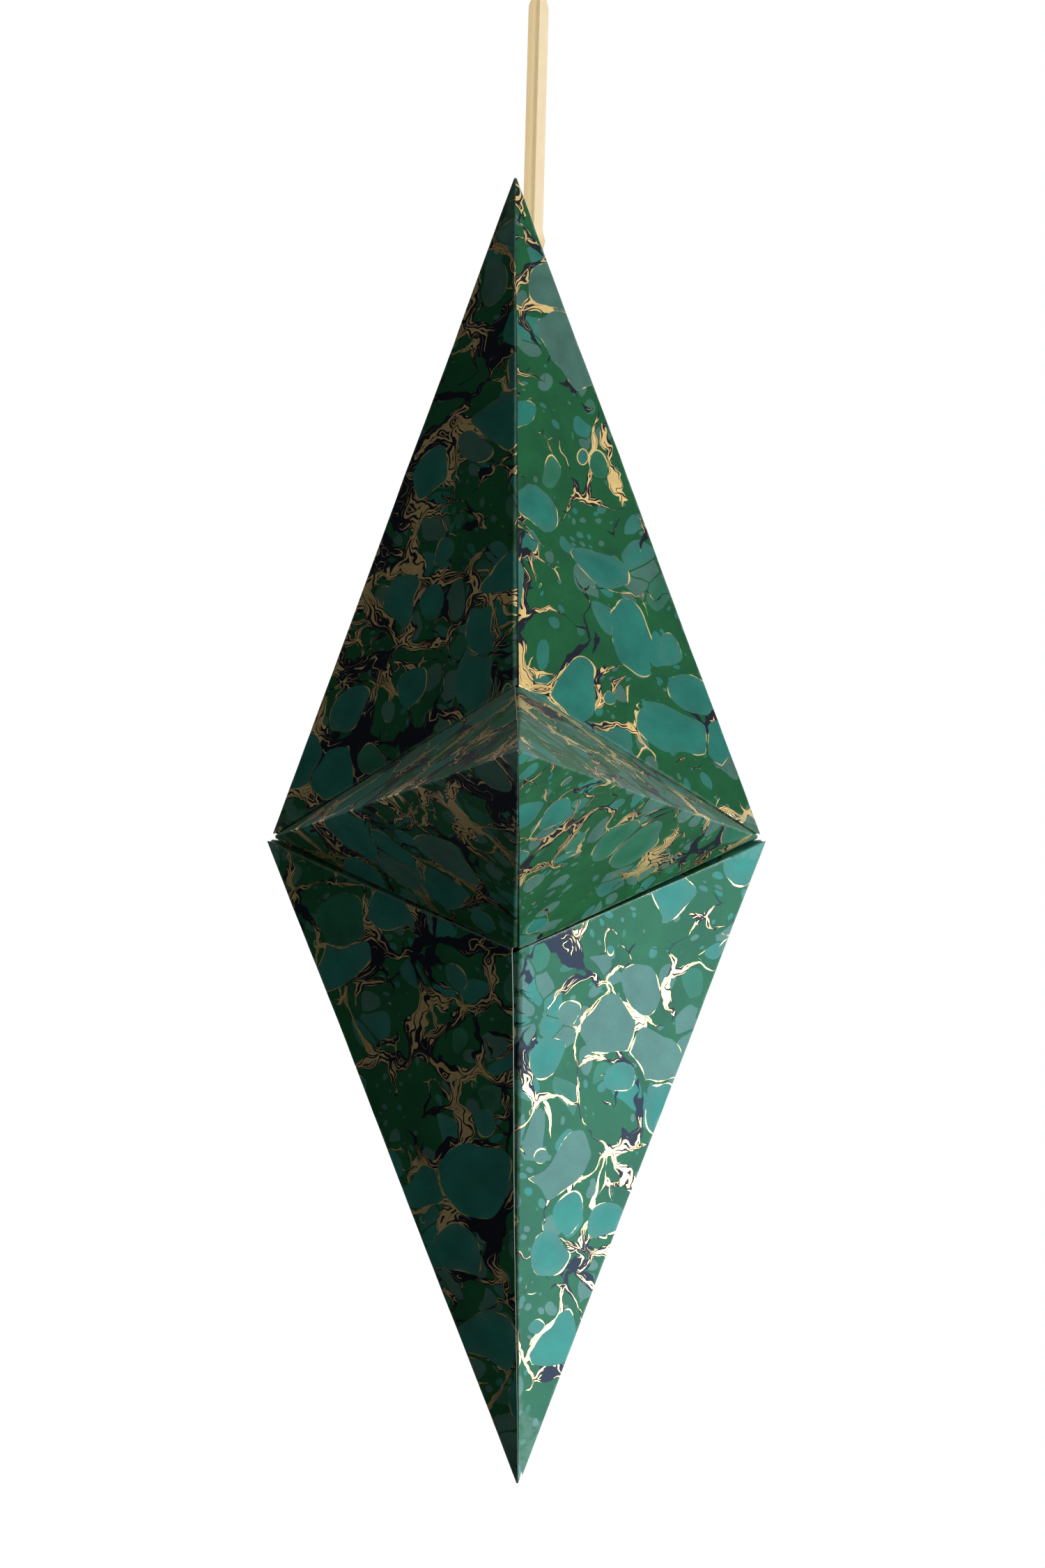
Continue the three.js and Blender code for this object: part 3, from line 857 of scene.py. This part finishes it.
def drawTape(name, stations, width, thickness, closed, gather=()):
    bm = bmesh.new()
    tapeMap = bm.loops.layers.uv.new("tape")
    runs = bm.verts.layers.float.new("run")
    sides = bm.verts.layers.float.new("side")
    halfWidth, halfThick = width / 2, thickness / 2
    flatWidth = width - 2 * section["edge"]
    columns = [
        section["edge"] - halfWidth + i * flatWidth / section["columns"]
        for i in range(section["columns"] + 1)]
    outline = [(x, -halfThick) for x in columns] + [(halfWidth, 0)]
    outline += [(x, halfThick) for x in reversed(columns)] + [(-halfWidth, 0)]
    run = 0
    count = len(stations)
    for i, (at, across) in enumerate(stations):
        before = stations[(i - 1) % count if closed else max(i - 1, 0)][0]
        after = stations[(i + 1) % count if closed else min(i + 1, count - 1)][0]
        tangent = (after - before).normalized()
        across = (across - tangent * across.dot(tangent)).normalized()
        normal = tangent.cross(across)
        fromEnd = count - 1 - i
        share = gather[fromEnd] if fromEnd < len(gather) else 1
        frameHere = Matrix((across * share, normal, tangent)).transposed().to_4x4()
        frameHere.translation = at
        if i == 0:
            ring = [bm.verts.new(frameHere @ Vector((x, y, 0))) for x, y in outline]
            pairs = list(zip(ring, ring[1:] + ring[:1]))
            edges = [bm.edges.new(pair) for pair in pairs]
        else:
            run += (at - stations[i - 1][0]).length
            grown = bmesh.ops.extrude_edge_only(bm, edges=edges)["geom"]
            ring = [part for part in grown if isinstance(part, bmesh.types.BMVert)]
            edges = [
                part for part in grown
                if isinstance(part, bmesh.types.BMEdge) and all(v in ring for v in part.verts)]
            bmesh.ops.transform(bm, matrix=frameHere @ lastFrame.inverted(), verts=ring)
        lastFrame = frameHere
        for vert in ring:
            vert[runs] = run
            vert[sides] = (vert.co - at).dot(across) / share
    firstEdges = [bm.edges.get(pair) for pair in pairs]
    if closed:
        bmesh.ops.bridge_loops(bm, edges=firstEdges + edges)
    else:
        bmesh.ops.contextual_create(bm, geom=firstEdges)
        bmesh.ops.contextual_create(bm, geom=edges)
    bmesh.ops.recalc_face_normals(bm, faces=bm.faces[:])
    for face in bm.faces:
        for loop in face.loops:
            loop[tapeMap].uv = (loop.vert[sides], loop.vert[runs])
    bmesh.ops.transform(bm, matrix=metres, verts=bm.verts[:])
    mesh = bpy.data.meshes.new(name)
    bm.to_mesh(mesh)
    bm.free()
    mesh.materials.append(satinMaterial)
    mesh.shade_smooth()
    mesh.set_sharp_from_angle(angle=math.radians(section["sharpAngle"]))
    piece = bpy.data.objects.new(name, mesh)
    bpy.context.collection.objects.link(piece)
    return piece


# The two strands leave the slit side by side, twist apart and run up to the upper knot.
strand = {
    "bendSteps": 20,
    "twistShare": 0.3,  # share of the bend over which a strand turns its face
    "runStep": 0.7,
    "intoKnot": 0.6,
    "gatherLength": 3.0,
    "gatherMost": 0.55,  # share of the width lost in the knot
}

turnRadians = math.radians(ribbon["turn"])
entryRadians = math.radians(ribbon["entry"])
starTurn = hangTurn.to_matrix()
normalHere = starTurn @ slitNormal
upHere = starTurn @ slitUp
acrossHere = -(starTurn @ slitAcross)
slitHere = starPlace @ (slitCentre - slitNormal * half["paper"] / 2)
entry = upHere * math.cos(entryRadians) + normalHere * math.sin(entryRadians)
entryNormal = normalHere * math.cos(entryRadians) - upHere * math.sin(entryRadians)


def strandStations(side):
    across = Vector((math.cos(turnRadians), side * math.sin(turnRadians), 0))
    clearance = ribbon["thickness"] + ribbon["gap"]
    offset = (ribbon["width"] * math.cos(turnRadians) - ribbon["overlap"]) / 2
    step = clearance / math.cos(turnRadians) + ribbon["overlap"] * math.tan(turnRadians)
    plumb = Vector((side * offset, side * step / 2, 0))
    a = slitHere + entryNormal * (side * clearance / 2)
    b = a + entry * ribbon["tailBend"]
    d = plumb + up * (tailTop - ribbon["tailBend"] / 2)
    c = d - up * ribbon["tailBend"]
    twist = across.rotation_difference(acrossHere)
    stations = [(a - entry * ribbon["inside"], acrossHere)]
    for i in range(strand["bendSteps"] + 1):
        t = i / strand["bendSteps"]
        at = a * (1 - t) ** 3 + b * 3 * t * (1 - t) ** 2 + c * 3 * t * t * (1 - t) + d * t ** 3
        turned = Quaternion().slerp(twist, smoothStep((1 - t) / strand["twistShare"]))
        stations.append((at, turned @ across))
    top = strandTop + strand["intoKnot"]
    steps = math.ceil((top - d.z) / strand["runStep"])
    gather = []
    for i in range(1, steps + 1):
        height = d.z + (top - d.z) * i / steps
        drawn = smoothStep(1 - (top - height) / strand["gatherLength"])
        share = 1 - strand["gatherMost"] * drawn
        gather.insert(0, share)
        stations.append((plumb * share + up * height, across))
    return stations, gather


# An overhand knot drawn tight: the flat tape follows a trefoil, face outwards.
knotForm = {"tapeWidth": 1.5, "tapeThickness": 0.5, "steps": 72, "depth": 0.62}
trefoilReach = 3  # of the curve below, at size 1


def knotStations(centre, turn):
    size = (ribbon["knotRadius"] - knotForm["tapeWidth"] / 2) / trefoilReach
    axis = turn @ up
    places = []
    for i in range(knotForm["steps"]):
        t = 2 * math.pi * i / knotForm["steps"]
        x = math.sin(t) + 2 * math.sin(2 * t)
        y = math.cos(t) - 2 * math.cos(2 * t)
        z = -math.sin(3 * t) * knotForm["depth"]
        places.append(centre + turn @ Vector((x * size, y * size, z)))
    stations = []
    for i, at in enumerate(places):
        tangent = places[(i + 1) % len(places)] - places[i - 1]
        stations.append((at, axis.cross(tangent).normalized()))
    return stations


def addKnot(name, centre, turn, body, node):
    stations = knotStations(centre, turn)
    piece = drawTape(name, stations, knotForm["tapeWidth"], knotForm["tapeThickness"], True)
    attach(piece, body)
    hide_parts(node)


# The loop: two straight legs out of the knot, and an arc over the hook.
loopForm = {"legSteps": 10, "arcSteps": 40}


def loopStations():
    radius = ribbon["loopRadius"] + ribbon["thickness"] / 2
    centre = up * -ribbon["loopRadius"]
    foot = Vector((ribbon["loopLegGap"], 0, -ribbon["loopDrop"] + ribbon["knotRadius"] + ribbon["gap"]))
    tangent = math.atan2(foot.z - centre.z, foot.x) + math.acos(radius / (foot - centre).length)
    leave = centre + Vector((math.cos(tangent), 0, math.sin(tangent))) * radius
    width = Vector((0, 1, 0))
    inKnot = foot + (foot - leave).normalized() * strand["intoKnot"]
    leg = [(inKnot.lerp(leave, i / loopForm["legSteps"]), width) for i in range(loopForm["legSteps"])]
    sweep = math.pi - 2 * tangent
    arc = []
    for i in range(loopForm["arcSteps"] + 1):
        angle = tangent + sweep * i / loopForm["arcSteps"]
        arc.append((centre + Vector((math.cos(angle), 0, math.sin(angle))) * radius, width))
    mirror = Matrix.Scale(-1, 4, (1, 0, 0))
    return leg + arc + [(mirror @ at, width) for at, _ in reversed(leg)]


addKnot(
    "ribbon_upper_knot_tied", up * -ribbon["loopDrop"], Matrix.Rotation(math.pi / 2, 3, "X"),
    "upper_knot", "ribbon_upper_knot")
stopCentre = slitHere - entry * (ribbon["inside"] + ribbon["gap"] + ribbon["knotRadius"])
stopTurn = up.rotation_difference(entryNormal).to_matrix()
addKnot("ribbon_stop_knot_tied", stopCentre, stopTurn, "star", "ribbon_stop_knot")

for hand, side in hands:
    stations, gather = strandStations(side)
    piece = drawTape(
        f"ribbon_{hand}_tape", stations, ribbon["width"], ribbon["thickness"], False, gather)
    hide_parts(f"ribbon_{hand}_strand", f"ribbon_{hand}_tail")
    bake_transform(piece)
stations = loopStations()
loop = drawTape("ribbon_loop_tape", stations, ribbon["width"], ribbon["thickness"], False)
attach(loop, "hanging_loop")
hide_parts("ribbon_hanging_loop")
print("ribbon tied")


# Studio, in metres: a pale floor and a white sweep, a soft window low on the right and a small
# lamp behind. A grey card on the left, a black flag above and a black board below keep the
# shaded side deep.
studio = {
    "white": "#ffffff",
    "fill": 0.16,
    "daylight": "#e8f0ff",
    "floor": "#f2f2f0",
    "floorPlace": (0, 0, -2.4),
    "floorSize": (40, 40),
    "floorPaleness": 0.9,  # share of the floor's look that is plain white, for the backdrop
    "matt": 0.9,
    "black": "#0c0d0d",
    "grey": "#4c4d4d",
}
lamps = {
    "windowLight": {"place": (1.42, -0.6, -0.8), "size": (0.9, 1.0), "power": 30},
    "backLight": {"place": (0, 1.2, -0.02), "size": (0.3, 0.3), "power": 20},
}
level = Matrix.Identity(3)
upright = Matrix(((0.243, 0, 0.97), (-0.97, 0, 0.243), (0, -1, 0)))  # facing right, a little back
cards = {
    "card": {"paint": "grey", "place": (-0.55, -0.35, -0.18), "size": (1.7, 1.7), "turn": upright},
    "flag": {"paint": "black", "place": (-0.65, 0.3, 0.4), "size": (0.9, 1.2), "turn": level},
    "board": {"paint": "black", "place": (-0.3, 0.6, -0.75), "size": (1.3, 2.2), "turn": level},
}


def seenDirectly(tree):
    rays = addNode(tree, "LightPath", {}, {})
    camera, glossy = rays.outputs["Is Camera Ray"], rays.outputs["Is Glossy Ray"]
    either = addNode(tree, "Math", {"operation": "MAXIMUM"}, {0: camera, 1: glossy})
    return addNode(tree, "Math", {"operation": "MAXIMUM"}, {
        0: either, 1: rays.outputs["Is Transmission Ray"]})


def addWorld():
    world = bpy.data.worlds.new("studio")
    world.use_nodes = True
    tree = world.node_tree
    tree.nodes.clear()
    fill = addNode(tree, "Background", {}, {
        "Color": linearColour(studio["white"]), "Strength": studio["fill"]})
    backdrop = addNode(tree, "Background", {}, {
        "Color": linearColour(studio["white"]), "Strength": 1})
    mixed = addNode(tree, "MixShader", {}, {0: seenDirectly(tree), 1: fill, 2: backdrop})
    addNode(tree, "OutputWorld", {}, {"Surface": mixed})
    bpy.context.scene.world = world


def plainSurface(name, hexValue, paleness):
    material, tree = newMaterial(name)
    surface = addNode(tree, "BsdfPrincipled", {}, {
        "Base Color": linearColour(hexValue), "Roughness": studio["matt"]})
    bright = addNode(tree, "Emission", {}, {"Color": linearColour(hexValue)})
    seen = addNode(tree, "Math", {"operation": "MULTIPLY"}, {
        0: seenDirectly(tree), 1: paleness})
    mixed = addNode(tree, "MixShader", {}, {0: seen, 1: surface, 2: bright})
    addNode(tree, "OutputMaterial", {}, {"Surface": mixed})
    return material


def addPanel(name, size, place, turn, material):
    bm = bmesh.new()
    bmesh.ops.create_grid(bm, x_segments=1, y_segments=1, size=0.5)
    shape = Matrix.Translation(place) @ turn.to_4x4() @ Matrix.Diagonal((*size, 1, 1))
    bmesh.ops.transform(bm, matrix=shape, verts=bm.verts[:])
    mesh = bpy.data.meshes.new(name)
    bm.to_mesh(mesh)
    bm.free()
    mesh.materials.append(material)
    panel = bpy.data.objects.new(name, mesh)
    bpy.context.collection.objects.link(panel)
    return panel


def addLamp(name, place, size, power):
    lamp = bpy.data.lights.new(name, "AREA")
    lamp.shape = "RECTANGLE"
    lamp.size, lamp.size_y = size
    lamp.energy = power
    lamp.color = linearColour(studio["daylight"])[:3]
    holder = bpy.data.objects.new(name, lamp)
    bpy.context.collection.objects.link(holder)
    holder.location = place
    holder.rotation_mode = "QUATERNION"
    holder.rotation_quaternion = (starCentre * mm - Vector(place)).to_track_quat("-Z", "Y")


addWorld()
paleFloor = plainSurface("paleFloor", studio["floor"], studio["floorPaleness"])
addPanel("floor", studio["floorSize"], studio["floorPlace"], level, paleFloor)
paints = {paint: plainSurface(paint + "Card", studio[paint], 0) for paint in ("black", "grey")}
for name, card in cards.items():
    panel = addPanel(name, card["size"], card["place"], card["turn"], paints[card["paint"]])
    panel.visible_camera = False
for name, lamp in lamps.items():
    addLamp(name, lamp["place"], lamp["size"], lamp["power"])
bpy.context.scene.view_settings.view_transform = "Standard"
print("studio lit")
